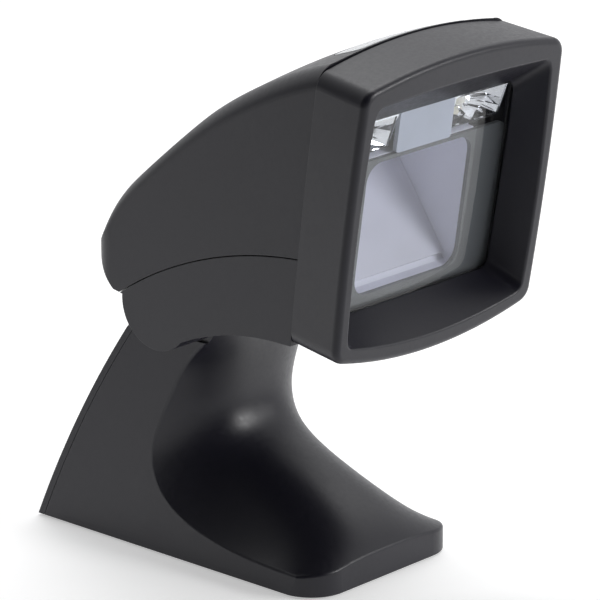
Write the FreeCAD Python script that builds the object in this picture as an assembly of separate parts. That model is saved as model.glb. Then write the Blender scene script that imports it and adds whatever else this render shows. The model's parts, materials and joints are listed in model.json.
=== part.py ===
import FreeCAD, Part
import math
import os

# Hands-free counter scanner: a square-framed scan head that tilts on a sculpted stand.
# Millimetres. Front is -Y, up is +Z, X = 0 is the symmetry plane.
# The origin is on the counter, under the middle of the foot.

V = FreeCAD.Vector
os.makedirs("parts", exist_ok=True)

# ---------------------------------------------------------------- driving dimensions
GAP = 0.3                       # clearance between moving bodies and along the split line
SEAM_GAP = 0.5                  # gap round the back of the bezel

FOOT_FRONT = -50.9              # foot, front edge on the counter
FOOT_REAR = 50.2                # foot, rear edge on the counter
FOOT_HALF = 28.8                # foot, half width on the counter
FOOT_CORNER = 10.5              # plan radius of the two front corners
SIDE_DRAFT = 0.1                # each side leans in by this much per mm of height
SHELL_BOTTOM = 0.6              # moulding clears the counter; the pad touches it
STAND_WALL = 2.2
COVER_SKIN = 1.9                # rear cover thickness
CREST_ROUND = 1.0               # rounding of the crest and of the foot's rim

AXIS_Y = -2.5                   # tilt axis, along X
AXIS_Z = 72.5
HUB_R = 10.5
HUB_HALF = 21.8
LOBE_R = 12.0                   # round side lobes of the lower housing
SLOT_HALF = 23.4                # slot in the housings that the neck swings in
AXLE_R = 3.0
BUSH_R = 5.0
CHEEK = 2.4                     # cheek plates beside the slot

RIM_TILT = 8.3                  # the rim plane looks down by this angle
RIM_Y = -64.54                  # rim plane reference point, on X = 0
RIM_Z = 60.0
RECESS = 10.0                   # window pane lies this deep behind the rim
PANE_T = 1.2

HEAD_HALF = 36.5                # head housings, half width
HEAD_WALL = 2.2
HEAD_REAR = 21.0                # rearmost line of the crown
HEAD_CORNER = 7.0               # plan radius of the two rear corners
NOSE_START = 9.0                # the crown drops faster behind this line
NOSE_LOW = (12.8, 74.0)         # rear nose of the crown, from the side
NOSE_HIGH = (14.2, 97.3)
CROWN_SLOPE = 0.86              # steeper than the crown, so only the nose is cut by it
HEAD_FLOOR = 71.9               # underside of the head, at the seam
SHOULDER_Z = 139.8              # flat side panels end here at the seam
SHOULDER_Y = -58.0
ROLL = 6.0                      # rounding from side panel to crown
ARCH = 2.5                      # rise of the crown across the width
SEAM_LEAN = 7.2                 # bezel seam plane leans forward by this angle
SEAM_Y = -49.9                  # seam plane passes through this point
SEAM_Z = 72.7


# ---------------------------------------------------------------- helpers
def box(x0, x1, y0, y1, z0, z1):
    return Part.makeBox(x1 - x0, y1 - y0, z1 - z0, V(x0, y0, z0))


def cyl_x(y, z, r, x0, x1):
    return Part.makeCylinder(r, x1 - x0, V(x0, y, z), V(1, 0, 0))


def cyl_z(x, y, r, z0, z1):
    return Part.makeCylinder(r, z1 - z0, V(x, y, z0), V(0, 0, 1))


def mirrored(shape):
    """The same piece on the other side of X = 0."""
    return shape.mirror(V(0, 0, 0), V(1, 0, 0))


def both_sides(shape):
    return Part.makeCompound([shape, mirrored(shape)])


def yz_line(a, b):
    return Part.LineSegment(V(0, *a), V(0, *b)).toShape()


def yz_arc(a, b, c):
    return Part.Arc(V(0, *a), V(0, *b), V(0, *c)).toShape()


def yz_poly(points):
    return Part.makePolygon([V(0, *p) for p in points + points[:1]])


def across(face, half):
    """A YZ face pulled out to both sides."""
    moved = face.copy()
    moved.translate(V(-half, 0, 0))
    return moved.extrude(V(2 * half, 0, 0))


def rounded_plan(half, y0, y1, front_r, rear_r, z0, z1):
    """Rectangle in plan with rounded front and rear corners, as a prism."""
    solid = box(-half, half, y0, y1, z0, z1)
    for y, r in ((y0, front_r), (y1, rear_r)):
        edges = [e for e in solid.Edges
                 if abs(e.Vertexes[0].X - e.Vertexes[-1].X) < 1e-6
                 and abs(e.Vertexes[0].Y - y) < 1e-6 and abs(e.Vertexes[-1].Y - y) < 1e-6]
        if r > 0:
            solid = solid.makeFillet(r, edges)
    return solid


def polar(angle_deg, r):
    """Point at this angle and radius round the tilt axis."""
    a = math.radians(angle_deg)
    return (AXIS_Y + r * math.cos(a), AXIS_Z + r * math.sin(a))


def in_rim(shape):
    """Place a piece drawn with x across, y up the rim plane and z out of its front."""
    placed = shape.copy()
    turn = FreeCAD.Rotation(V(1, 0, 0), 90 + RIM_TILT)
    placed.Placement = FreeCAD.Placement(V(0, RIM_Y, RIM_Z), turn).multiply(placed.Placement)
    return placed


def rim_box(x0, x1, v0, v1, d0, d1):
    """Box in the rim frame; d is the depth behind the rim."""
    return box(x0, x1, v0, v1, -d1, -d0)


def rim_plate(half, v0, v1, d0, d1, r):
    """Upright plate in the rim frame with four rounded corners."""
    solid = rim_box(-half, half, v0, v1, d0, d1)
    return solid.makeFillet(r, [e for e in solid.Edges
                                if abs(e.Vertexes[0].Z - e.Vertexes[-1].Z) > 0.5 * (d1 - d0)])


def crowned_wire(half_top, half_mid, half_low, top, top_corner, low, low_corner, depth):
    """Four bowed sides: a square frame outline in the rim frame."""
    z = -depth
    corners = [V(-half_top, top_corner, z), V(half_top, top_corner, z),
               V(half_low, low_corner, z), V(-half_low, low_corner, z)]
    mid_v = (top_corner + low_corner) / 2
    bows = [V(0, top, z), V(half_mid, mid_v, z), V(0, low, z), V(-half_mid, mid_v, z)]
    edges = [Part.Arc(corners[i], bows[i], corners[(i + 1) % 4]).toShape() for i in range(4)]
    return Part.Wire(edges)


def crowned_solid(front, back, corner_r):
    """Loft between two frame outlines, with its four long corners rounded."""
    solid = Part.makeLoft([front, back], True, True)
    long_edges = [e for e in solid.Edges if abs(e.Vertexes[0].Z - e.Vertexes[-1].Z) > 1.0]
    return solid.makeFillet(corner_r, long_edges)


def pan_screw(x, y, z, head_r, head_h, shank_r, shank_l):
    """Screw driven upwards; z is the underside of its head."""
    head = cyl_z(x, y, head_r, z, z + head_h)
    head = head.cut(box(x - 0.35, x + 0.35, y - head_r * 0.65, y + head_r * 0.65, z, z + 0.7))
    head = head.cut(box(x - head_r * 0.65, x + head_r * 0.65, y - 0.35, y + 0.35, z, z + 0.7))
    return head.fuse(cyl_z(x, y, shank_r, z + head_h, z + head_h + shank_l)).removeSplitter()


# ---------------------------------------------------------------- stand
# Crest line of each side panel, and the raised middle line of the front, top to bottom.
CREST = [(-13.0, 75.0), (-11.4, 67.2), (-7.4, 60.3), (-1.6, 54.2), (3.4, 45.0), (7.8, 34.4),
         (9.3, 26.3), (6.2, 18.2), (-3.0, 11.7), (-19.0, 7.6), (-35.0, 6.3), (-51.0, 5.8),
         (-60.0, 5.3)]
MIDDLE = [(-12.8, 75.0), (-12.0, 67.2), (-9.6, 60.3), (-7.0, 53.6), (-5.4, 46.0), (-5.6, 38.4),
          (-9.2, 31.4), (-16.8, 26.6), (-26.4, 22.6), (-36.2, 18.2), (-44.4, 13.5), (-51.5, 7.6),
          (-58.5, 1.5)]
DOME_POWER_TOP = 2.8            # how full the front is across its width, at the neck
DOME_POWER_FOOT = 2.9           # and at the front of the foot
DOME_STEPS = (-1.12, -1.0, -0.93, -0.8, -0.6, -0.35, 0.0, 0.35, 0.6, 0.8, 0.93, 1.0, 1.12)
REAR_MID = (36.4, 32.1)
REAR_TOP = (21.4, 58.2)
REAR_TANGENT_DEG = 36.9         # the rear line runs on to the hub at this angle


def side_half(z):
    return FOOT_HALF - SIDE_DRAFT * z


def front_surface():
    """Front of the stand: the crests at its sides, domed forward between them."""
    rows = []
    for i, (crest, middle) in enumerate(zip(CREST, MIDDLE)):
        half = side_half(crest[1])
        share = i / (len(CREST) - 1)
        power = DOME_POWER_TOP + (DOME_POWER_FOOT - DOME_POWER_TOP) * share
        row = []
        for u in DOME_STEPS:
            rise = 1 - abs(u) ** power
            y = crest[0] + (middle[0] - crest[0]) * rise
            z = crest[1] + (middle[1] - crest[1]) * rise
            row.append(V(half * u, y, z))
        rows.append(row)
    surface = Part.BSplineSurface()
    surface.interpolate(rows)
    return surface.toShape()


def rear_outline(inset):
    """Rear line of the stand from the counter up to the hub, moved in by inset."""
    tangent = polar(REAR_TANGENT_DEG, HUB_R - inset)
    c = 0.87 * inset
    s = 0.5 * inset
    return [(FOOT_REAR - 1.15 * inset, 0.0), (REAR_MID[0] - c, REAR_MID[1] - s),
            (REAR_TOP[0] - c, REAR_TOP[1] - s), tangent]


def stand_block(side_inset, rear_inset, back_shift, down_shift, z_low):
    """Solid inside the stand's sides, rear and front, with each face moved in."""
    low, mid, top, tangent = rear_outline(rear_inset)
    outline = Part.Wire([yz_arc(low, mid, top), yz_line(top, tangent),
                         yz_line(tangent, (-20.0, tangent[1])),
                         yz_line((-20.0, tangent[1]), (FOOT_FRONT + side_inset, 40.0)),
                         yz_line((FOOT_FRONT + side_inset, 40.0), (FOOT_FRONT + side_inset, 0.0)),
                         yz_line((FOOT_FRONT + side_inset, 0.0), low)])
    solid = across(Part.Face(outline), 40)
    half_low = FOOT_HALF - side_inset
    half_top = side_half(90.0) - side_inset
    taper = Part.makePolygon([V(-half_low, -60, 0), V(half_low, -60, 0), V(half_top, -60, 90),
                              V(-half_top, -60, 90), V(-half_low, -60, 0)])
    solid = solid.common(Part.Face(taper).extrude(V(0, 130, 0)))
    corner = FOOT_CORNER - side_inset
    plan = rounded_plan(half_low, FOOT_FRONT + side_inset, 60, corner, 0, 0, 90)
    solid = solid.common(plan)
    front = front_surface().extrude(V(0, -90, 0))
    front.translate(V(0, back_shift, -down_shift))
    solid = solid.cut(front)
    return solid.cut(box(-50, 50, -80, 80, -2, z_low))


def behind_skin(depth):
    """Region behind a line set this deep inside the rear outline."""
    low, mid, top, tangent = rear_outline(depth)
    edges = [yz_arc(low, mid, top), yz_line(top, tangent), yz_line(tangent, (70, tangent[1])),
             yz_line((70, tangent[1]), (70, 0)), yz_line((70, 0), low)]
    return across(Part.Face(Part.Wire(edges)), 50).cut(box(-60, 60, -50, 80, COVER_TOP, 100))


def make_stand_shell():
    hub = cyl_x(AXIS_Y, AXIS_Z, HUB_R, -HUB_HALF, HUB_HALF)
    neck_top = box(-50, 50, -50, 50, AXIS_Z, 100)
    block = stand_block(0, 0, 0, 0, SHELL_BOTTOM)
    crest = [e for e in block.Edges if e.Curve.TypeId == "Part::GeomBSplineCurve"
             and 3.0 < e.BoundBox.ZMin < 40.0 and e.BoundBox.ZMax < 76.0
             and e.BoundBox.YMax < 12.0]
    shell = block.makeFillet(CREST_ROUND, crest).cut(neck_top).fuse(hub)
    shoulders = box(HUB_HALF, 50, -50, 50, 60, 100)
    shell = shell.cut(shoulders).cut(mirrored(shoulders))
    hollow = stand_block(STAND_WALL, 0, 2.2, 2.0, -1).cut(box(-50, 50, -50, 50, COVER_TOP - 6, 100))
    shell = shell.cut(hollow).cut(behind_skin(COVER_SKIN + GAP / 2))
    recess = floor_plate(1.2, -1, PLATE_TOP + 0.05, FOOT_REAR + 5)
    shell = shell.cut(recess)
    inside = stand_block(0.5, 3.0, 0.8, 0.8, 0)
    for x, y in BASE_SCREWS:
        boss = cyl_z(x, y, 3.0, PLATE_TOP + 0.05, 30)
        shell = shell.fuse(boss.common(inside))
    for x, y in BASE_SCREWS:
        shell = shell.cut(cyl_z(x, y, 1.15, 0, PLATE_TOP + 3.4))
    return shell.cut(cyl_x(AXIS_Y, AXIS_Z, AXLE_R, -40, 40)).removeSplitter()


COVER_TOP = 66.0
PLATE_TOP = 2.4
PAD_TOP = 1.2
BASE_SCREWS = [(-21.0, -30.0), (21.0, -30.0), (-21.0, 14.0), (21.0, 14.0)]
COVER_SCREWS = [(-17.0, 42.0), (17.0, 42.0)]


def make_rear_cover():
    """Skin over the back of the stand, with a cord outlet at its foot and two screw bosses."""
    block = stand_block(0, 0, 0, 0, SHELL_BOTTOM)
    skin = block.common(behind_skin(COVER_SKIN)).cut(box(-60, 60, -50, 80, COVER_TOP - GAP, 100))
    inside = stand_block(STAND_WALL + 0.4, 0.6, 3.0, 2.4, PLATE_TOP + 0.1)
    posts = [cyl_z(x, y, 2.8, PLATE_TOP + 0.1, 40).common(inside) for x, y in COVER_SCREWS]
    cover = skin.multiFuse(posts)
    for x, y in COVER_SCREWS:
        cover = cover.cut(cyl_z(x, y, 1.15, 0, 9.0))
    return cover.cut(box(-5.2, 5.2, 43, 60, 3.6, 11.2)).removeSplitter()


def floor_plate(inset, z0, z1, rear):
    half = FOOT_HALF - inset
    return rounded_plan(half, FOOT_FRONT + inset + 0.2, rear, FOOT_CORNER - inset, 2.0, z0, z1)


def make_base_plate():
    plate = floor_plate(1.5, PAD_TOP, PLATE_TOP, FOOT_REAR - 3.3)
    for x, y in BASE_SCREWS + COVER_SCREWS:
        plate = plate.cut(cyl_z(x, y, 1.4, 0, 5))
    return plate


def make_pad():
    pad = floor_plate(2.6, 0, PAD_TOP, FOOT_REAR - 4.0)
    for x, y in BASE_SCREWS + COVER_SCREWS:
        pad = pad.cut(cyl_z(x, y, 2.9, -1, 5))
    return pad


def make_ballast():
    """Cast weight in the foot, stepped to fit under the sloping front."""
    weight = box(-16, 16, -33, 26, PLATE_TOP + 0.1, 8.4).fuse(
        box(-16, 16, -18, 22, PLATE_TOP + 0.1, 15.5))
    weight = weight.common(stand_block(4.0, 8.0, 4.5, 4.0, 0)).removeSplitter()
    return weight.makeFillet(0.8, [e for e in weight.Edges
                                   if abs(e.Vertexes[0].Z - e.Vertexes[-1].Z) > 4
                                   and e.Curve.TypeId == "Part::GeomLine"])


def make_socket():
    """Modular socket for the cord, facing the outlet in the rear cover."""
    body = box(-6.5, 6.5, 29.5, 42.0, PLATE_TOP + 0.1, 13.0)
    body = body.cut(box(-4.6, 4.6, 31.5, 44, 4.2, 10.6))
    return body.cut(box(-2.0, 2.0, 31.5, 44, 3.2, 4.3))


def make_socket_pins():
    pins = [box(x - 0.25, x + 0.25, 31.5, 38.5, 9.4, 10.0) for x in
            [-3.6 + 0.8 * i for i in range(10)]]
    return Part.makeCompound(pins)


# ---------------------------------------------------------------- tilt joint
def ring_x(y, z, r_out, r_in, x0, x1):
    return cyl_x(y, z, r_out, x0, x1).cut(cyl_x(y, z, r_in, x0 - 1, x1 + 1))


def make_axle():
    axle = cyl_x(AXIS_Y, AXIS_Z, AXLE_R, -31.0, 31.0)
    return axle.makeChamfer(0.5, [e for e in axle.Edges if e.Curve.TypeId == "Part::GeomCircle"])


def make_friction_washers():
    return both_sides(ring_x(AXIS_Y, AXIS_Z, 8.6, AXLE_R + 0.05, HUB_HALF + 0.02, SLOT_HALF - 0.1))


def make_bushes():
    """Flanged bearing bushes in the cheek plates."""
    sleeve = ring_x(AXIS_Y, AXIS_Z, BUSH_R, AXLE_R + 0.05, SLOT_HALF + 0.1, SLOT_HALF + CHEEK)
    flange = ring_x(AXIS_Y, AXIS_Z, 6.6, AXLE_R + 0.05, SLOT_HALF + CHEEK, SLOT_HALF + CHEEK + 0.9)
    return both_sides(sleeve.fuse(flange).removeSplitter())


def make_axle_nuts():
    x0 = SLOT_HALF + CHEEK + 2.4
    hexagon = Part.makePolygon([V(x0, AXIS_Y + 5.2 * math.cos(math.radians(60 * i)),
                                  AXIS_Z + 5.2 * math.sin(math.radians(60 * i)))
                                for i in range(7)])
    nut = Part.Face(hexagon).extrude(V(2.6, 0, 0))
    return both_sides(nut.cut(cyl_x(AXIS_Y, AXIS_Z, AXLE_R, x0 - 1, x0 + 5)))


def make_wave_washers():
    x0 = SLOT_HALF + CHEEK + 1.2
    return both_sides(ring_x(AXIS_Y, AXIS_Z, 5.4, AXLE_R + 0.05, x0, x0 + 1.0))


# ---------------------------------------------------------------- head housings
def shoulder(y):
    """Height where the flat side panel ends and the crown's rounding starts."""
    d = y - SHOULDER_Y
    past = max(0.0, y - NOSE_START)
    return SHOULDER_Z - 0.30 * d - 0.0051 * d * d - 0.055 * past * past


def crown_section(y, inset):
    """Cross-section of the head at this y: upright sides, rounded shoulders, arched crown."""
    w = HEAD_HALF - inset
    roll = ROLL - 0.7 * inset
    s = shoulder(y) - 0.55 * inset
    k = roll * (1 - math.sqrt(0.5))
    left = [V(-w, y, s), V(-w + k, y, s + roll - k), V(-w + roll, y, s + roll)]
    right = [V(-p.x, p.y, p.z) for p in reversed(left)]
    edges = [Part.LineSegment(V(-w, y, 40), left[0]).toShape(),
             Part.Arc(*left).toShape(),
             Part.Arc(left[2], V(0, y, s + roll + ARCH), right[0]).toShape(),
             Part.Arc(*right).toShape(),
             Part.LineSegment(right[2], V(w, y, 40)).toShape(),
             Part.LineSegment(V(w, y, 40), V(-w, y, 40)).toShape()]
    return Part.Wire(edges)


def side_face():
    """Outline of the head from the side: flat floor, lobe round the tilt axis, rear nose."""
    far = -90.0
    floor_end = (-46.0, HEAD_FLOOR)
    lobe_start = polar(222.0, LOBE_R)
    lobe_end = polar(4.0, LOBE_R)
    rearmost = (HEAD_REAR, 87.4)
    crown_far = (far, NOSE_HIGH[1] + CROWN_SLOPE * (NOSE_HIGH[0] - far))
    edges = [yz_line((far, HEAD_FLOOR), floor_end),
             yz_arc(floor_end, (-27.0, 69.9), lobe_start),
             yz_arc(lobe_start, polar(293.0, LOBE_R), lobe_end),
             yz_line(lobe_end, NOSE_LOW),
             yz_arc(NOSE_LOW, (18.0, 80.2), rearmost),
             yz_arc(rearmost, (19.5, 93.0), NOSE_HIGH),
             yz_line(NOSE_HIGH, crown_far),
             yz_line(crown_far, (far, HEAD_FLOOR))]
    return Part.Face(Part.Wire(edges))


def head_block(inset):
    """Everything inside the head's outer skin, moved in by inset."""
    face = side_face()
    if inset:
        face = face.makeOffset2D(-inset)
    solid = across(face, 45)
    stations = [-90.0, -75.0, -60.0, -45.0, -30.0, -15.0, 0.0, 8.0, 12.0, 16.0, 20.0, 24.0]
    crown = Part.makeLoft([crown_section(y, inset) for y in stations], True, False)
    plan = rounded_plan(HEAD_HALF - inset, -90, HEAD_REAR - inset, 0, HEAD_CORNER - inset, 30, 190)
    return solid.common(crown).common(plan)


def behind_seam(offset):
    """Half space behind the bezel seam plane, moved back by offset."""
    lean = math.tan(math.radians(SEAM_LEAN))
    y_low = SEAM_Y + lean * SEAM_Z + offset
    y_high = y_low - lean * 200
    face = Part.Face(yz_poly([(y_low, 0), (y_high, 200), (100, 200), (100, 0)]))
    return across(face, 60)


SPLIT = [(11.0, 73.2), (-16.5, 87.5), (-52.0, 95.2)]


def above_split(offset):
    """Region above the arc where the upper and lower housings meet."""
    pts = [(y, z + offset) for y, z in SPLIT]
    front = (-90.0, pts[2][1] + 2.0)
    edges = [yz_arc(*pts), yz_line(pts[2], front), yz_line(front, (-90, 190)),
             yz_line((-90, 190), (60, 190)), yz_line((60, 190), (60, pts[0][1] - 24)),
             yz_line((60, pts[0][1] - 24), pts[0])]
    return across(Part.Face(Part.Wire(edges)), 60)


def split_lip():
    """Tongue on the lower housing that laps up behind the upper one, so the split shows no gap."""
    core = head_block(HEAD_WALL + 1.1)
    root = head_block(HEAD_WALL - 0.3).cut(core).common(above_split(-2.2)).cut(above_split(-GAP / 2))
    tip = head_block(HEAD_WALL + 0.15).cut(core).common(above_split(-0.3)).cut(above_split(1.5))
    return root.fuse(tip)


def neck_slot():
    """Room for the neck to swing in, open below and behind."""
    sweep = box(-SLOT_HALF, SLOT_HALF, -19.0, 60, 40, AXIS_Z + 5.0)
    return sweep.fuse(cyl_x(AXIS_Y, AXIS_Z, HUB_R + 0.8, -SLOT_HALF, SLOT_HALF))


HOUSING_SCREWS = [(-29.0, -42.0), (29.0, -42.0), (-29.0, -24.0), (29.0, -24.0)]
SCREW_SEAT = 80.0


def make_upper_housing():
    shell = head_block(0).cut(head_block(HEAD_WALL))
    inside = head_block(0.6)
    posts = [cyl_z(x, y, 3.0, 60, 160).common(inside) for x, y in HOUSING_SCREWS]
    shell = shell.multiFuse(posts)
    shell = shell.common(above_split(GAP / 2)).common(behind_seam(SEAM_GAP / 2))
    for x, y in HOUSING_SCREWS:
        shell = shell.cut(cyl_z(x, y, 1.2, 60, 104))
    shell = shell.cut(neck_slot())
    shell = shell.cut(button_prism(GAP, 120, 160))
    return shell.removeSplitter()


def make_lower_housing():
    block = head_block(0)
    shell = block.cut(head_block(HEAD_WALL))
    inside = head_block(0.6)
    cheek = box(SLOT_HALF, SLOT_HALF + CHEEK, -21.4, 30, 50, 100).common(inside)
    front_wall = box(-SLOT_HALF - CHEEK, SLOT_HALF + CHEEK, -21.4, -19.0, 60, 84).common(inside)
    posts = [cyl_z(x, y, 3.6, 60, 100).common(inside) for x, y in HOUSING_SCREWS]
    shell = shell.multiFuse([cheek, mirrored(cheek), front_wall] + posts)
    shell = shell.cut(above_split(-GAP / 2)).fuse(split_lip()).common(behind_seam(SEAM_GAP / 2))
    shell = shell.cut(neck_slot())
    for x, y in HOUSING_SCREWS:
        shell = shell.cut(cyl_z(x, y, 1.4, 50, 104)).cut(cyl_z(x, y, 2.5, 50, SCREW_SEAT))
    shell = shell.cut(cyl_x(AXIS_Y, AXIS_Z, BUSH_R, -30, 30))
    return shell.removeSplitter()


def make_housing_screws():
    return Part.makeCompound([pan_screw(x, y, SCREW_SEAT - 1.7, 2.3, 1.6, 1.15, 20)
                              for x, y in HOUSING_SCREWS])


# ---------------------------------------------------------------- bezel and window
PANE_HALF = 33.4
PANE_LOW = 16.6
PANE_HIGH = 70.9


def make_bezel():
    """Deep square frame: crowned top, bowed sides, recess walls that close in on the pane."""
    outer = crowned_solid(crowned_wire(38.5, 39.3, 38.2, 87.0, 82.9, 5.6, 11.1, 0.0),
                          crowned_wire(36.6, 36.9, 36.6, 86.6, 82.2, 8.6, 9.9, 24.0), 4.6)
    outer = outer.makeFillet(1.7, [e for e in outer.Edges if e.BoundBox.ZMin > -0.01])
    recess = crowned_solid(crowned_wire(33.6, 35.2, 34.0, 79.6, 78.6, 10.4, 14.2, -0.01),
                           crowned_wire(32.5, 31.9, 30.9, 69.8, 69.7, 17.8, 17.9, RECESS), 3.4)
    pocket = rim_plate(PANE_HALF + 0.1, PANE_LOW - 0.1, PANE_HIGH + 0.1, RECESS - 0.01, 40, 3.0)
    frame = outer.cut(recess).cut(pocket)
    inner_edges = [e for e in frame.Edges if e.BoundBox.ZMin > -0.02 and e.BoundBox.ZMax < 0.02
                   and e.BoundBox.XLength > 0 and abs(e.BoundBox.XMax) < 35
                   and abs(e.BoundBox.XMin) < 35]
    frame = frame.makeFillet(0.7, inner_edges)
    hollow = rim_plate(34.6, 13.0, 80.0, RECESS + 3.0, 40, 3.0)
    frame = frame.cut(hollow)
    placed = in_rim(frame).cut(behind_seam(-SEAM_GAP / 2))
    # Snap tongues that reach back inside the housings, two above and two below.
    upper = rim_box(20, 29, 75.8, 77.4, RECESS + 2.9, 24).fuse(
        rim_box(20, 29, 77.4, 80.6, RECESS + 2.9, RECESS + 4.0))
    lower = rim_box(14, 24, 12.7, 14.2, RECESS + 1.0, 22)
    tongues = [in_rim(tongue) for tongue in (upper, lower)]
    return placed.multiFuse(tongues + [mirrored(tongue) for tongue in tongues]).removeSplitter()


def make_pane():
    return in_rim(rim_plate(PANE_HALF, PANE_LOW, PANE_HIGH, RECESS + 0.05, RECESS + PANE_T, 3.0))


GASKET_D = RECESS + PANE_T
MASK_D = GASKET_D + 0.5
MASK_T = 1.2


def make_gasket():
    ring = rim_plate(PANE_HALF, PANE_LOW, PANE_HIGH, GASKET_D, MASK_D, 3.0)
    return in_rim(ring.cut(rim_plate(PANE_HALF - 0.8, PANE_LOW + 0.9, PANE_HIGH - 0.9,
                                     GASKET_D - 1, MASK_D + 1, 2.0)))


# ---------------------------------------------------------------- optics
CAVITY_HALF = 20.2
CAVITY_LOW = 20.6
CAVITY_HIGH = 56.8
SHROUD_BACK = 45.6


def make_window_mask():
    """Flat frame behind the pane, open over the optical tunnel."""
    mask = rim_plate(PANE_HALF - 0.2, PANE_LOW + 0.2, 57.9, MASK_D, MASK_D + MASK_T, 2.6)
    opening = rim_plate(CAVITY_HALF, CAVITY_LOW, CAVITY_HIGH, MASK_D - 1, MASK_D + 2, 5.0)
    return in_rim(mask.cut(opening))


TUNNEL_FRONT = MASK_D + MASK_T + 0.05
TUNNEL_WALL = 1.4
FLOOR_START = TUNNEL_FRONT + 3.0        # depth where the tunnel's floor starts to rise
FLOOR_END_DROP = 4.0                    # it ends this far below the tunnel's roof


def tunnel(grow, front):
    """Optical tunnel in the rim frame, with its walls moved out by grow."""
    h = CAVITY_HALF + grow
    low = CAVITY_LOW - grow
    high = CAVITY_HIGH + grow
    back = SHROUD_BACK + grow
    pts = [V(-h, low, -front), V(-h, high, -front), V(-h, high, -back),
           V(-h, high - FLOOR_END_DROP, -back), V(-h, low, -FLOOR_START), V(-h, low, -front)]
    return Part.Face(Part.makePolygon(pts)).extrude(V(2 * h, 0, 0))


def make_shroud():
    """Tapering tunnel behind the mask; the mirror closes its rising floor."""
    body = tunnel(TUNNEL_WALL, TUNNEL_FRONT).cut(tunnel(0, TUNNEL_FRONT - 1))
    lens_hole = Part.makeCylinder(5.4, 10, V(0, CAVITY_HIGH - 3, -LENS_DEPTH), V(0, 1, 0))
    return in_rim(body.cut(lens_hole))


LENS_DEPTH = 33.0


def make_mirror():
    """Flat mirror just above the tunnel's rising floor; it folds the view up into the lens."""
    start = V(0, CAVITY_LOW, -FLOOR_START)
    end = V(0, CAVITY_HIGH - FLOOR_END_DROP, -SHROUD_BACK)
    along = end.sub(start).normalize()
    up = V(1, 0, 0).cross(along)
    a = start + along * 1.5
    b = end - along * 2.5
    half = V(CAVITY_HALF - 0.2, 0, 0)
    corners = [a + up * 0.15, b + up * 0.15, b + up * 1.25, a + up * 1.25, a + up * 0.15]
    plate = Part.Face(Part.makePolygon([c - half for c in corners])).extrude(half * 2)
    return in_rim(plate)


def make_lens_barrel():
    barrel = Part.makeCylinder(5.2, 7.5, V(0, CAVITY_HIGH - 0.6, -LENS_DEPTH), V(0, 1, 0))
    bore = Part.makeCylinder(3.2, 3.0, V(0, CAVITY_HIGH - 1.6, -LENS_DEPTH), V(0, 1, 0))
    return in_rim(barrel.cut(bore))


def make_lens():
    return in_rim(Part.makeCylinder(3.1, 1.6, V(0, CAVITY_HIGH - 0.3, -LENS_DEPTH), V(0, 1, 0)))


def make_imager_board():
    board = rim_box(-12, 12, CAVITY_HIGH + 8.6, CAVITY_HIGH + 9.8, LENS_DEPTH - 5.5, LENS_DEPTH + 9)
    return in_rim(board)


def make_imager_chip():
    return in_rim(rim_box(-4, 4, CAVITY_HIGH + 7.1, CAVITY_HIGH + 8.5,
                          LENS_DEPTH - 4, LENS_DEPTH + 4))


def make_main_board():
    board = rim_plate(22.5, 22.0, 52.0, 50.0, 51.4, 2.0)
    for x, v in ((-19.8, 24.8), (19.8, 24.8), (-19.8, 49.4), (19.8, 49.4)):
        board = board.cut(Part.makeCylinder(1.3, 10, V(x, v, -55), V(0, 0, 1)))
    return in_rim(board)


def make_board_chips():
    chips = [rim_box(-16, -3, 36, 49, 51.5, 53.0), rim_box(4, 13, 40, 49, 51.5, 52.7),
             rim_box(3, 19, 28, 34, 51.5, 53.4), rim_box(-20, -12, 25, 31, 51.5, 53.8)]
    return Part.makeCompound([in_rim(chip) for chip in chips])


def make_speaker():
    cup = Part.makeCylinder(6.0, 3.6, V(-14, 29, -49.9), V(0, 0, 1))
    return in_rim(cup.cut(Part.makeCylinder(1.0, 1.2, V(-14, 29, -47.4), V(0, 0, 1))))


MODULE_FRONT = GASKET_D + 0.05
MODULE_DEPTH = 9.0
REFLECTOR_IN = 10.8
REFLECTOR_OUT = 32.3
REFLECTOR_LOW = 58.8
REFLECTOR_HIGH = 69.2
LAMP_R = 2.0


def make_reflector():
    """Right lamp reflector: a chromed trough with sloping facets round the lamp seat."""
    x0, x1, v0, v1 = REFLECTOR_IN, REFLECTOR_OUT, REFLECTOR_LOW, REFLECTOR_HIGH
    front = MODULE_FRONT
    back = front + MODULE_DEPTH
    body = rim_box(x0, x1, v0, v1, front, back)

    def outline(dx, dv, depth):
        pts = [V(x0 + dx, v0 + dv, -depth), V(x1 - dx, v0 + dv, -depth),
               V(x1 - dx, v1 - dv, -depth), V(x0 + dx, v1 - dv, -depth)]
        return Part.makePolygon(pts + pts[:1])

    throat = outline(6.4, 2.4, back - 1.6)
    pocket = Part.makeLoft([outline(0.5, 0.5, front - 0.01), outline(2.6, 1.4, front + 4.0), throat],
                           True, True)
    body = body.cut(pocket)
    seat_x = (x0 + x1) / 2
    seat_v = (v0 + v1) / 2
    seat = Part.makeCylinder(LAMP_R + 0.1, 3.0, V(seat_x, seat_v, -(back + 0.5)), V(0, 0, 1))
    return in_rim(body.cut(seat))


def make_lamp():
    """Right lamp: square die on its heat slug with a low domed lens."""
    x = (REFLECTOR_IN + REFLECTOR_OUT) / 2
    v = (REFLECTOR_LOW + REFLECTOR_HIGH) / 2
    back = MODULE_FRONT + MODULE_DEPTH
    stem = Part.makeCylinder(LAMP_R, 1.2, V(x, v, -back), V(0, 0, 1))
    dome = Part.makeSphere(LAMP_R, V(x, v, -back + 1.2)).common(
        Part.makeCylinder(LAMP_R + 1, 6, V(x, v, -back), V(0, 0, 1)))
    return in_rim(stem.fuse(dome).removeSplitter())


def make_lamp_board():
    board = rim_box(-32.3, 32.3, REFLECTOR_LOW - 0.4, REFLECTOR_HIGH + 0.6,
                    MODULE_FRONT + MODULE_DEPTH + 0.1, MODULE_FRONT + MODULE_DEPTH + 1.3)
    return in_rim(board)


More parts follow.
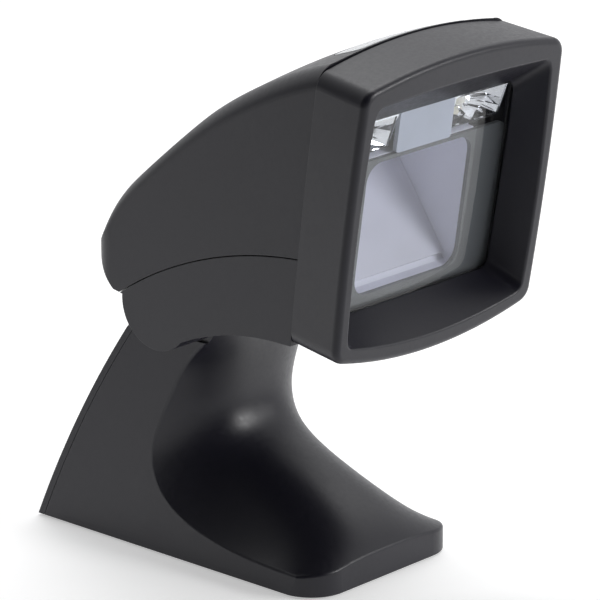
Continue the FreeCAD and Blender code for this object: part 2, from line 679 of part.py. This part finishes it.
def make_lamp_panel():
    panel = rim_plate(REFLECTOR_IN - 0.3, 58.2, REFLECTOR_HIGH, MODULE_FRONT, MODULE_FRONT + 1.3, 0.8)
    return in_rim(panel)


# ---------------------------------------------------------------- indicator button
BUTTON_HALF = 21.0
BUTTON_FRONT = -58.2
BUTTON_REAR = -49.4
BUTTON_TRAVEL = 0.8
BUTTON_PROUD = 0.1
BUTTON_MID = -53.9
SWITCH_BOARD_TOP = 136.4
SPRING_R = 3.8
SPRING_WIRE_R = 0.28
SPRING_PITCH = 1.3
SPRING_TOP = 141.4              # just under the button's lens bar


def button_prism(grow, z0, z1):
    return rounded_plan(BUTTON_HALF + grow, BUTTON_FRONT - grow, BUTTON_REAR + grow,
                        2.2 + grow, 2.2 + grow, z0, z1)


def make_button():
    """Lens bar that follows the crown, pressed straight down; a flange keeps it in."""
    top = head_block(0)
    top.translate(V(0, 0, BUTTON_PROUD))
    under = head_block(HEAD_WALL)
    under.translate(V(0, 0, -0.4))
    cap = top.cut(under).common(button_prism(0, 130, 160))
    stem = box(-1.6, 1.6, BUTTON_MID - 1.5, BUTTON_MID + 1.5, 138.6, 144.5)
    return cap.fuse(stem).removeSplitter()


def make_button_spring():
    coil = Part.makeHelix(SPRING_PITCH, SPRING_TOP - SWITCH_BOARD_TOP - 2 * SPRING_WIRE_R, SPRING_R)
    wire = Part.Wire(Part.makeCircle(SPRING_WIRE_R, V(SPRING_R, 0, 0), V(0, 1, 0)))
    spring = Part.Wire(coil).makePipeShell([wire], True, True)
    spring.translate(V(0, BUTTON_MID, SWITCH_BOARD_TOP + SPRING_WIRE_R))
    return spring


def make_switch_board():
    return box(-14, 14, -58.6, -48.5, SWITCH_BOARD_TOP - 1.2, SWITCH_BOARD_TOP)


def make_tact_switch():
    z = SWITCH_BOARD_TOP + 0.05
    body = box(-2.4, 2.4, BUTTON_MID - 2.3, BUTTON_MID + 2.3, z, z + 0.9)
    return body.fuse(cyl_z(0, BUTTON_MID, 1.1, z + 0.9, z + 1.3)).removeSplitter()


def make_indicator_leds():
    z = SWITCH_BOARD_TOP + 0.05
    return Part.makeCompound([box(x - 0.9, x + 0.9, BUTTON_MID - 0.9, BUTTON_MID + 0.9, z, z + 0.7)
                              for x in (-9, 9)])


# ---------------------------------------------------------------- all pieces
PIECES = {
    "stand_shell": make_stand_shell,
    "stand_rear_cover": make_rear_cover,
    "base_plate": make_base_plate,
    "non_slip_pad": make_pad,
    "ballast_weight": make_ballast,
    "cord_socket": make_socket,
    "cord_socket_pins": make_socket_pins,
    "tilt_axle": make_axle,
    "friction_washers": make_friction_washers,
    "axle_bushes": make_bushes,
    "wave_washers": make_wave_washers,
    "axle_nuts": make_axle_nuts,
    "upper_housing": make_upper_housing,
    "lower_housing": make_lower_housing,
    "housing_screws": make_housing_screws,
    "bezel": make_bezel,
    "window_pane": make_pane,
    "window_gasket": make_gasket,
    "window_mask": make_window_mask,
    "optical_shroud": make_shroud,
    "fold_mirror": make_mirror,
    "lens_barrel": make_lens_barrel,
    "imager_lens": make_lens,
    "imager_board": make_imager_board,
    "imager_chip": make_imager_chip,
    "main_board": make_main_board,
    "board_chips": make_board_chips,
    "speaker": make_speaker,
    "reflector_right": make_reflector,
    "reflector_left": lambda: mirrored(make_reflector()),
    "lamp_right": make_lamp,
    "lamp_left": lambda: mirrored(make_lamp()),
    "lamp_board": make_lamp_board,
    "lamp_panel": make_lamp_panel,
    "indicator_button": make_button,
    "button_spring": make_button_spring,
    "switch_board": make_switch_board,
    "tact_switch": make_tact_switch,
    "indicator_leds": make_indicator_leds,
    "base_screws": lambda: Part.makeCompound(
        [pan_screw(x, y, 0.4, 2.3, 0.8, 1.1, 4.2) for x, y in BASE_SCREWS]),
    "cover_screws": lambda: Part.makeCompound(
        [pan_screw(x, y, 0.4, 2.3, 0.8, 1.1, 6.5) for x, y in COVER_SCREWS]),
}

for name, make in PIECES.items():
    shape = make()
    print("%-18s solids %d  valid %s  volume %.0f" % (name, len(shape.Solids), shape.isValid(),
                                                       shape.Volume))
    shape.exportStep("parts/" + name + ".step")
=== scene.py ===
import json
import math

import bmesh
import bpy
from mathutils import Matrix, Vector


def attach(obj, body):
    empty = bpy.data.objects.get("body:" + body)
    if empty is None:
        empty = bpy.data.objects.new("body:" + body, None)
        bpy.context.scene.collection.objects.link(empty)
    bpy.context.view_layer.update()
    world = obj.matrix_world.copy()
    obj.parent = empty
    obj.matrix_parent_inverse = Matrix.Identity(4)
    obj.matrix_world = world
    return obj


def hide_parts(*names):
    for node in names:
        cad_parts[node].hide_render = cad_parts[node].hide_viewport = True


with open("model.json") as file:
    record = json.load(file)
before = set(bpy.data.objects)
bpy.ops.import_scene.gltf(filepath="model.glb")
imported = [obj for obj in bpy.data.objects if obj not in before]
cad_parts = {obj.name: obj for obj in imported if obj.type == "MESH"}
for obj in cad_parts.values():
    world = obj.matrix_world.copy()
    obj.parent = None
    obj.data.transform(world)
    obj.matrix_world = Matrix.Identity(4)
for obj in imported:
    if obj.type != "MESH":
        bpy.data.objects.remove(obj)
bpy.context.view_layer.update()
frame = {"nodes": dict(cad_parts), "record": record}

NODES = frame["nodes"]
MM = 0.001


# ---------------------------------------------------------------- node helpers
def new_material(name):
    material = bpy.data.materials.new(name)
    material.use_nodes = True
    tree = material.node_tree
    return material, tree, tree.nodes["Principled BSDF"]


def noise(tree, size, detail=3.0, stretch=(1, 1, 1)):
    """Noise fixed to the object, with features about this size."""
    where = tree.nodes.new("ShaderNodeTexCoord")
    mapping = tree.nodes.new("ShaderNodeMapping")
    mapping.inputs["Scale"].default_value = [s / size for s in stretch]
    texture = tree.nodes.new("ShaderNodeTexNoise")
    texture.inputs["Scale"].default_value = 1.0
    texture.inputs["Detail"].default_value = detail
    tree.links.new(where.outputs["Object"], mapping.inputs["Vector"])
    tree.links.new(mapping.outputs["Vector"], texture.inputs["Vector"])
    return texture.outputs["Fac"]


def cells(tree, size, feature="F1", stretch=(1, 1, 1)):
    """Voronoi cells fixed to the object, about this size."""
    where = tree.nodes.new("ShaderNodeTexCoord")
    mapping = tree.nodes.new("ShaderNodeMapping")
    mapping.inputs["Scale"].default_value = [s / size for s in stretch]
    texture = tree.nodes.new("ShaderNodeTexVoronoi")
    texture.feature = feature
    texture.inputs["Scale"].default_value = 1.0
    tree.links.new(where.outputs["Object"], mapping.inputs["Vector"])
    tree.links.new(mapping.outputs["Vector"], texture.inputs["Vector"])
    return texture.outputs["Distance"]


def ramp(tree, factor, low, high, start=0.3, end=0.7):
    """Colour that runs from low to high as factor goes from start to end."""
    node = tree.nodes.new("ShaderNodeValToRGB")
    first, last = node.color_ramp.elements
    first.position = start
    last.position = end
    first.color = (*low, 1.0)
    last.color = (*high, 1.0)
    tree.links.new(factor, node.inputs["Fac"])
    return node.outputs["Color"]


def spread(tree, factor, low, high, start=0.3, end=0.7):
    """Number that runs from low to high as factor goes from start to end."""
    node = tree.nodes.new("ShaderNodeMapRange")
    for name, value in (("From Min", start), ("From Max", end), ("To Min", low), ("To Max", high)):
        node.inputs[name].default_value = value
    tree.links.new(factor, node.inputs["Value"])
    return node.outputs["Result"]


def bump(tree, height, depth, normal=None, strength=0.5):
    node = tree.nodes.new("ShaderNodeBump")
    node.inputs["Distance"].default_value = depth
    node.inputs["Strength"].default_value = strength
    tree.links.new(height, node.inputs["Height"])
    if normal is not None:
        tree.links.new(normal, node.inputs["Normal"])
    return node.outputs["Normal"]


def soft_edges(tree, radius):
    """Shading normal that rounds every edge by this radius."""
    node = tree.nodes.new("ShaderNodeBevel")
    node.samples = 4
    node.inputs["Radius"].default_value = radius
    return node.outputs["Normal"]


def shades(colour, amount):
    """The colour a little darker and a little lighter."""
    return [c * (1 - amount) for c in colour], [c * (1 + amount) for c in colour]


# ---------------------------------------------------------------- materials
def moulded_plastic(name, colour, roughness, grain=0.35 * MM, depth=0.010 * MM, edge=0.30 * MM):
    """Moulded plastic with a spark-eroded grain and slightly uneven gloss."""
    material, tree, shader = new_material(name)
    cloud = ramp(tree, noise(tree, 22 * MM, 2.0), *shades(colour, 0.05))
    tree.links.new(cloud, shader.inputs["Base Color"])
    gloss = spread(tree, noise(tree, 1.1 * MM, 4.0), roughness - 0.05, roughness + 0.05)
    tree.links.new(gloss, shader.inputs["Roughness"])
    rounded = soft_edges(tree, edge)
    tree.links.new(bump(tree, noise(tree, grain, 2.0), depth, rounded), shader.inputs["Normal"])
    shader.inputs["IOR"].default_value = 1.5
    return material


def plated_steel(name, colour, roughness):
    """Zinc-plated steel with fine turning marks and a mottled passivation."""
    material, tree, shader = new_material(name)
    tree.links.new(ramp(tree, noise(tree, 3 * MM, 4.0), *shades(colour, 0.12)),
                   shader.inputs["Base Color"])
    tree.links.new(spread(tree, noise(tree, 0.3 * MM, 3.0, (1, 8, 1)), roughness - 0.08,
                          roughness + 0.08), shader.inputs["Roughness"])
    tree.links.new(bump(tree, noise(tree, 0.2 * MM, 2.0, (1, 10, 1)), 0.006 * MM),
                   shader.inputs["Normal"])
    shader.inputs["Metallic"].default_value = 1.0
    return material


def cast_metal(name, colour):
    material, tree, shader = new_material(name)
    tree.links.new(ramp(tree, noise(tree, 1.6 * MM, 6.0), *shades(colour, 0.25)),
                   shader.inputs["Base Color"])
    tree.links.new(bump(tree, noise(tree, 0.9 * MM, 6.0), 0.15 * MM), shader.inputs["Normal"])
    tree.links.new(spread(tree, noise(tree, 2 * MM), 0.55, 0.75), shader.inputs["Roughness"])
    shader.inputs["Metallic"].default_value = 0.6
    return material


def pimpled_rubber(name, colour):
    """Non-slip rubber with small round pips."""
    material, tree, shader = new_material(name)
    tree.links.new(ramp(tree, noise(tree, 6 * MM), *shades(colour, 0.15)),
                   shader.inputs["Base Color"])
    pips = bump(tree, spread(tree, cells(tree, 2.2 * MM), 1.0, 0.0, 0.1, 0.45), 0.25 * MM)
    tree.links.new(bump(tree, noise(tree, 0.15 * MM), 0.01 * MM, pips), shader.inputs["Normal"])
    tree.links.new(spread(tree, noise(tree, 0.8 * MM), 0.72, 0.86), shader.inputs["Roughness"])
    return material


def circuit_board(name, colour):
    """Solder mask over copper tracks, which show as lighter raised lines."""
    material, tree, shader = new_material(name)
    tracks = cells(tree, 2.4 * MM, "DISTANCE_TO_EDGE", (1, 0.6, 1))
    dark, light = shades(colour, 0.35)
    tree.links.new(ramp(tree, tracks, light, dark, 0.06, 0.10), shader.inputs["Base Color"])
    tree.links.new(bump(tree, spread(tree, tracks, 1.0, 0.0, 0.06, 0.10), 0.03 * MM),
                   shader.inputs["Normal"])
    tree.links.new(spread(tree, noise(tree, 0.6 * MM), 0.28, 0.42), shader.inputs["Roughness"])
    return material


def clear_pane(name, tint, facing_share=0.045, dust=0.02):
    """Thin clear sheet: passes light straight on and mirrors more at a glancing angle."""
    material, tree, shader = new_material(name)
    tree.nodes.remove(shader)
    out = tree.nodes["Material Output"]
    through = tree.nodes.new("ShaderNodeBsdfTransparent")
    tree.links.new(ramp(tree, noise(tree, 12 * MM), *shades(tint, 0.01)), through.inputs["Color"])
    mirror = tree.nodes.new("ShaderNodeBsdfGlossy")
    tree.links.new(spread(tree, noise(tree, 2.5 * MM, 5.0), dust, 2 * dust),
                   mirror.inputs["Roughness"])
    angle = tree.nodes.new("ShaderNodeLayerWeight")
    angle.inputs["Blend"].default_value = 0.5
    power = tree.nodes.new("ShaderNodeMath")
    power.operation = "POWER"
    power.inputs[1].default_value = 5.0
    tree.links.new(angle.outputs["Facing"], power.inputs[0])
    share = spread(tree, power.outputs["Value"], facing_share, 1.0, 0.0, 1.0)
    mix = tree.nodes.new("ShaderNodeMixShader")
    tree.links.new(share, mix.inputs["Fac"])
    tree.links.new(through.outputs["BSDF"], mix.inputs[1])
    tree.links.new(mirror.outputs["BSDF"], mix.inputs[2])
    tree.links.new(mix.outputs["Shader"], out.inputs["Surface"])
    return material


def bright_metal(name, colour, roughness, ripple=0.004 * MM):
    """Mirror-bright metal with a faint ripple from its plastic core."""
    material, tree, shader = new_material(name)
    tree.links.new(ramp(tree, noise(tree, 5 * MM), *shades(colour, 0.03)),
                   shader.inputs["Base Color"])
    tree.links.new(spread(tree, noise(tree, 1.5 * MM, 4.0), roughness, 2 * roughness),
                   shader.inputs["Roughness"])
    tree.links.new(bump(tree, noise(tree, 3 * MM), ripple), shader.inputs["Normal"])
    shader.inputs["Metallic"].default_value = 1.0
    return material


def gloss_plastic(name, colour, roughness, mottle=0.05):
    material, tree, shader = new_material(name)
    tree.links.new(ramp(tree, noise(tree, 9 * MM, 2.0), *shades(colour, mottle)),
                   shader.inputs["Base Color"])
    tree.links.new(spread(tree, noise(tree, 2 * MM), roughness, roughness + 0.06),
                   shader.inputs["Roughness"])
    tree.links.new(bump(tree, noise(tree, 4 * MM), 0.006 * MM), shader.inputs["Normal"])
    return material


def lamp_plastic(name, colour):
    """Warm translucent lens with a fine diffusing pattern."""
    material = gloss_plastic(name, colour, 0.18, 0.08)
    tree = material.node_tree
    shader = tree.nodes["Principled BSDF"]
    pattern = bump(tree, cells(tree, 0.5 * MM), 0.08 * MM)
    tree.links.new(pattern, shader.inputs["Normal"])
    shader.inputs["Subsurface Weight"].default_value = 0.3
    shader.inputs["Subsurface Radius"].default_value = (0.0012, 0.0010, 0.0006)
    return material


def frosted_plastic(name, colour):
    """Milky translucent lens bar."""
    material = gloss_plastic(name, colour, 0.25, 0.03)
    shader = material.node_tree.nodes["Principled BSDF"]
    shader.inputs["Subsurface Weight"].default_value = 0.5
    shader.inputs["Subsurface Radius"].default_value = (0.002, 0.002, 0.002)
    return material


MATERIALS = {
    "charcoal_plastic": moulded_plastic("charcoal_plastic", (0.0108, 0.0103, 0.0172), 0.38),
    "zinc_steel": plated_steel("zinc_steel", (0.62, 0.62, 0.60), 0.32),
    "black_rubber": pimpled_rubber("black_rubber", (0.020, 0.020, 0.022)),
    "cast_iron": cast_metal("cast_iron", (0.16, 0.16, 0.17)),
    "black_nylon": moulded_plastic("black_nylon", (0.018, 0.018, 0.020), 0.45, edge=0.10 * MM),
    "gold_contact": bright_metal("gold_contact", (0.83, 0.62, 0.26), 0.12),
    "white_acetal": moulded_plastic("white_acetal", (0.78, 0.78, 0.75), 0.35, edge=0.10 * MM),
    "clear_pane": clear_pane("clear_pane", (0.965, 0.975, 0.985)),
    "grey_shroud": moulded_plastic("grey_shroud", (0.10, 0.105, 0.11), 0.38, edge=0.15 * MM),
    "light_shroud": gloss_plastic("light_shroud", (0.80, 0.80, 0.90), 0.40, 0.02),
    "mirror_glass": gloss_plastic("mirror_glass", (0.68, 0.675, 0.77), 0.34, 0.02),
    "lens_glass": clear_pane("lens_glass", (0.55, 0.62, 0.78), 0.08),
    "green_board": circuit_board("green_board", (0.03, 0.16, 0.07)),
    "black_chip": moulded_plastic("black_chip", (0.018, 0.018, 0.020), 0.5, edge=0.05 * MM),
    "chromed_plastic": bright_metal("chromed_plastic", (0.92, 0.92, 0.94), 0.05),
    "lamp_lens": lamp_plastic("lamp_lens", (0.92, 0.89, 0.78)),
    "gloss_panel": gloss_plastic("gloss_panel", (0.42, 0.45, 0.54), 0.16),
    "frosted_lens": frosted_plastic("frosted_lens", (0.82, 0.84, 0.86)),
    "spring_steel": plated_steel("spring_steel", (0.55, 0.55, 0.56), 0.25),
}

for part in frame["record"]["subparts"]:
    mesh = NODES[part["node"]].data
    mesh.materials.clear()
    mesh.materials.append(MATERIALS[part["material_slot"]])


# ---------------------------------------------------------------- mesh helpers
# The head's rim plane looks down by RIM_TILT degrees; RIM_Y and RIM_Z are a point on it, in millimetres.
RIM_TILT = 8.3
RIM_Y = -64.54
RIM_Z = 60.0
RIM = (Matrix.Translation((0, RIM_Y * MM, RIM_Z * MM))
       @ Matrix.Rotation(math.radians(90 + RIM_TILT), 4, "X"))


def rim_point(x, v, depth):
    """Point behind the head's rim plane: x across, v up, depth inwards, in millimetres."""
    return RIM @ Vector((x * MM, v * MM, -depth * MM))


def add_piece(name, bm, slot, body="head"):
    mesh = bpy.data.meshes.new(name)
    bmesh.ops.recalc_face_normals(bm, faces=bm.faces)
    bm.to_mesh(mesh)
    bm.free()
    mesh.materials.append(MATERIALS[slot])
    piece = bpy.data.objects.new(name, mesh)
    bpy.context.scene.collection.objects.link(piece)
    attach(piece, body)
    return piece


def skin(bm, rings):
    """Closed skin through rings of equally many points, with both ends capped."""
    loops = [[bm.verts.new(p) for p in ring] for ring in rings]
    count = len(loops[0])
    for a, b in zip(loops, loops[1:]):
        for i in range(count):
            j = (i + 1) % count
            bm.faces.new((a[i], a[j], b[j], b[i]))
    bm.faces.new(loops[0])
    bm.faces.new(loops[-1])


# ---------------------------------------------------------------- lamp reflectors, in millimetres
PANE_BACK = 11.3                # depth of the lamp module's front behind the rim
REFLECTOR_X = (10.8, 32.3)
REFLECTOR_V = (58.8, 69.2)
REFLECTOR_LEAN = 2.4            # its lower edge lies this much deeper
LAMP_R = 2.0                    # the lamp sits in a hole 0.1 wider
FACET_POINTS = 16               # points round the trough, four to a side at its rim


def frame_ring(side, inset, depth):
    """Rectangle with points shared out along its edges, leaning back at its foot."""
    x0, x1 = REFLECTOR_X[0] + inset, REFLECTOR_X[1] - inset
    v0, v1 = REFLECTOR_V[0] + inset, REFLECTOR_V[1] - inset
    corners = [(x0, v0), (x1, v0), (x1, v1), (x0, v1)]
    per_edge = FACET_POINTS // 4
    ring = []
    for (xa, va), (xb, vb) in zip(corners, corners[1:] + corners[:1]):
        for i in range(per_edge):
            t = i / per_edge
            x = xa + (xb - xa) * t
            v = va + (vb - va) * t
            lean = REFLECTOR_LEAN * (REFLECTOR_V[1] - v) / (REFLECTOR_V[1] - REFLECTOR_V[0])
            ring.append(rim_point(side * x, v, PANE_BACK + depth + lean))
    return ring


def facet_ring(side, radius_x, radius_v, depth, swing):
    """Ring round the lamp whose points alternate in depth, which makes the facets."""
    mid_x = sum(REFLECTOR_X) / 2
    mid_v = sum(REFLECTOR_V) / 2
    ring = []
    for i in range(FACET_POINTS):
        angle = math.radians(225 + 360 * i / FACET_POINTS)
        wave = swing * (-1) ** i
        ring.append(rim_point(side * (mid_x + (radius_x + wave) * math.cos(angle)),
                              mid_v + radius_v * math.sin(angle), PANE_BACK + depth + wave))
    return ring


def make_reflector(name, side):
    """Chromed trough: bright rim, faceted walls and a seat for the lamp."""
    rings = [frame_ring(side, 0.0, 6.0), frame_ring(side, 0.0, 0.25), frame_ring(side, 0.25, 0.0),
             frame_ring(side, 0.75, 0.0), frame_ring(side, 0.95, 0.4),
             facet_ring(side, 7.4, 3.3, 4.3, 0.45), facet_ring(side, 3.4, 2.5, 6.6, 0.2),
             facet_ring(side, LAMP_R + 0.1, LAMP_R + 0.1, 7.2, 0.0)]
    bm = bmesh.new()
    skin(bm, rings)
    return add_piece(name, bm, "chromed_plastic")


for label, side in (("right", 1), ("left", -1)):
    reflector = make_reflector("faceted_reflector_" + label, side)
    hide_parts("reflector_" + label)


RIM_STRIP_GAP = 0.1             # between the reflectors and the bright strip above them
RIM_STRIP_STEPS = 8             # stretches along the strip


def make_lamp_rim():
    """Bright strip along the module's top edge, rounded at the front."""
    outer = REFLECTOR_X[1]
    foot = REFLECTOR_V[1] + RIM_STRIP_GAP
    profile = [(0.0, 0.2), (0.12, 0.05), (0.55, 0.05), (0.65, 0.2), (0.65, 1.2), (0.0, 1.2)]
    rings = []
    for step in range(RIM_STRIP_STEPS + 1):
        x = outer * (2 * step / RIM_STRIP_STEPS - 1)
        rings.append([rim_point(x, foot + v, PANE_BACK + d) for v, d in profile])
    bm = bmesh.new()
    skin(bm, rings)
    return add_piece("lamp_rim", bm, "chromed_plastic")


make_lamp_rim()

# ---------------------------------------------------------------- floor, light and camera
AIM = Vector((1.8 * MM, -18.2 * MM, 68.5 * MM))     # the camera and the lamps point here
CAMERA_AZIMUTH = -47.88
CAMERA_ELEVATION = 17.61
CAMERA_DISTANCE = 1.1673
CAMERA_LENS = 267.1


def towards(azimuth, elevation):
    """Unit vector; azimuth 0 is the front, -Y, and 90 is +X."""
    a = math.radians(azimuth)
    e = math.radians(elevation)
    return Vector((math.sin(a) * math.cos(e), -math.cos(a) * math.cos(e), math.sin(e)))


def distance_along(tree, coordinate, direction):
    """How far a point lies along this fixed direction."""
    where = tree.nodes.new("ShaderNodeTexCoord")
    dot = tree.nodes.new("ShaderNodeVectorMath")
    dot.operation = "DOT_PRODUCT"
    dot.inputs[1].default_value = direction
    tree.links.new(where.outputs[coordinate], dot.inputs[0])
    return dot.outputs["Value"]


def look_from(thing, place, target):
    thing.location = place
    thing.rotation_euler = (target - place).to_track_quat("-Z", "Y").to_euler()


def add_softbox(name, azimuth, elevation, distance, width, height, power):
    """Rectangular lamp that faces the object; sizes in metres, power in watts."""
    light = bpy.data.lights.new(name, "AREA")
    light.shape = "RECTANGLE"
    light.size = width
    light.size_y = height
    light.energy = power
    lamp = bpy.data.objects.new(name, light)
    bpy.context.scene.collection.objects.link(lamp)
    look_from(lamp, AIM + towards(azimuth, elevation) * distance, AIM)


FLOOR_RADIUS = 4.0
FLOOR_GLOW = 0.42
GLOW_EDGES = (0.06, 0.14)       # the glow fades out over this stretch in front of the object
FRONT_AZIMUTH = -30


def add_floor():
    """Pale floor that is lit from below round and behind the object, and not in front of it."""
    bm = bmesh.new()
    bmesh.ops.create_circle(bm, cap_ends=True, segments=96, radius=FLOOR_RADIUS)
    mesh = bpy.data.meshes.new("floor")
    bm.to_mesh(mesh)
    bm.free()
    material, tree, shader = new_material("pale_floor")
    shader.inputs["Base Color"].default_value = (0.86, 0.86, 0.86, 1)
    shader.inputs["Roughness"].default_value = 0.9
    shader.inputs["Emission Color"].default_value = (1, 1, 1, 1)
    reach = distance_along(tree, "Object", towards(FRONT_AZIMUTH, 0))
    tree.links.new(spread(tree, reach, FLOOR_GLOW, 0.0, *GLOW_EDGES),
                   shader.inputs["Emission Strength"])
    mesh.materials.append(material)
    floor = bpy.data.objects.new("floor", mesh)
    bpy.context.scene.collection.objects.link(floor)


SKY_DARK = 0.015                # on the side that the main view looks from
SKY_BRIGHT = 0.95               # behind the object in the main view
SKY_BRIGHT_SIDE = (CAMERA_AZIMUTH + 180, 10)
SKY_EDGES = (-0.08, 0.50)       # the sky goes from dark to bright between these cosines


def add_surroundings():
    """Pale studio: bright behind the object in the main view, and dark on the near side."""
    world = bpy.data.worlds.new("studio")
    world.use_nodes = True
    tree = world.node_tree
    background = tree.nodes["Background"]
    towards_bright = distance_along(tree, "Generated", towards(*SKY_BRIGHT_SIDE))
    level = spread(tree, towards_bright, SKY_DARK, SKY_BRIGHT, *SKY_EDGES)
    tree.links.new(level, background.inputs["Strength"])
    background.inputs["Color"].default_value = (0.985, 0.99, 1.0, 1)
    bpy.context.scene.world = world


def add_camera():
    data = bpy.data.cameras.new("camera")
    data.lens = CAMERA_LENS
    data.sensor_width = 36.0
    data.clip_end = 20.0
    camera = bpy.data.objects.new("camera", data)
    bpy.context.scene.collection.objects.link(camera)
    look_from(camera, AIM + towards(CAMERA_AZIMUTH, CAMERA_ELEVATION) * CAMERA_DISTANCE, AIM)
    bpy.context.scene.camera = camera


add_floor()
add_surroundings()
add_softbox("overhead", 115, 66, 1.3, 1.0, 1.0, 6.5)
add_softbox("front_spot", 26, 20, 0.9, 0.36, 0.20, 3.6)
add_camera()
bpy.context.scene.view_settings.view_transform = "Standard"
